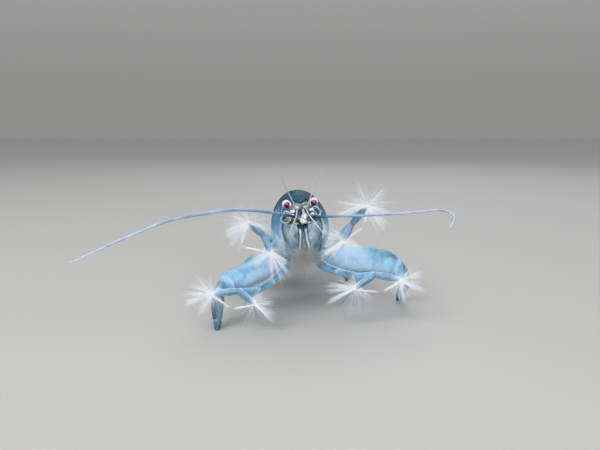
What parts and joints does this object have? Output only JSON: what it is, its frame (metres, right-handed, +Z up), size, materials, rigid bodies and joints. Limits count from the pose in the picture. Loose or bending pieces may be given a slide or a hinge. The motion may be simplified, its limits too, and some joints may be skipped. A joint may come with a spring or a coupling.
{
  "type": "giant filter shrimp",
  "caption": "Life-size still model of a blue filter-feeding shrimp that stands on its walking legs with its bristle fans held open.",
  "frame": {"origin": "middle of the bottom of the bounding box, on the floor that the feet stand on", "axes": "+Z up, -Y the way the head faces, +X the animal's left side"},
  "size_m": [0.074, 0.1086, 0.0365],
  "materials": {
    "carapace_blue": "smooth, slightly clear shell, dark blue-green above",
    "face_grey": "pale blue-grey, slightly clear",
    "abdomen_blue": "smooth, slightly clear shell",
    "leg_blue": "powder blue with dark blue bumps",
    "fan_white": "fine pale bristles on a light blue finger",
    "feeler_blue": "ringed, lavender blue",
    "eye_pink": "wet, pale pink round a dark red centre"
  },
  "bodies": {
    "root": {"abdomen_1": "abdomen_blue", "abdomen_2": "abdomen_blue", "abdomen_3": "abdomen_blue", "abdomen_4": "abdomen_blue", "abdomen_5": "abdomen_blue", "abdomen_6": "abdomen_blue", "antenna_left_scale": "face_grey", "antenna_left_stem": "face_grey", "antenna_left_whip_base": "feeler_blue", "antenna_left_whip_tip": "feeler_blue", "antenna_right_scale": "face_grey", "antenna_right_stem": "face_grey", "antenna_right_whip_base": "feeler_blue", "antenna_right_whip_tip": "feeler_blue", "antennule_left_lower": "feeler_blue", "antennule_left_stem": "face_grey", "antennule_left_upper": "feeler_blue", "antennule_right_lower": "feeler_blue", "antennule_right_stem": "face_grey", "antennule_right_upper": "feeler_blue", "carapace": "carapace_blue", "eye_left": "eye_pink", "eye_right": "eye_pink", "eyestalk_left": "face_grey", "eyestalk_right": "face_grey", "leg1_left_arm": "leg_blue", "leg1_left_finger_inner": "fan_white", "leg1_left_finger_outer": "fan_white", "leg1_right_arm": "leg_blue", "leg1_right_finger_inner": "fan_white", "leg1_right_finger_outer": "fan_white", "leg2_left_arm": "leg_blue", "leg2_left_finger_inner": "fan_white", "leg2_left_finger_outer": "fan_white", "leg2_right_arm": "leg_blue", "leg2_right_finger_inner": "fan_white", "leg2_right_finger_outer": "fan_white", "leg3_left_claw": "leg_blue", "leg3_left_shank": "leg_blue", "leg3_left_thigh": "leg_blue", "leg3_right_claw": "leg_blue", "leg3_right_shank": "leg_blue", "leg3_right_thigh": "leg_blue", "leg4_left": "leg_blue", "leg4_right": "leg_blue", "leg5_left": "leg_blue", "leg5_right": "leg_blue", "maxilliped_left": "face_grey", "maxilliped_right": "face_grey", "swimmerets_1": "abdomen_blue", "swimmerets_2": "abdomen_blue", "swimmerets_3": "abdomen_blue", "swimmerets_4": "abdomen_blue", "swimmerets_5": "abdomen_blue", "telson": "abdomen_blue", "thorax": "face_grey", "uropod_left_inner": "abdomen_blue", "uropod_left_outer": "abdomen_blue", "uropod_right_inner": "abdomen_blue", "uropod_right_outer": "abdomen_blue"}
  },
  "joints": []
}
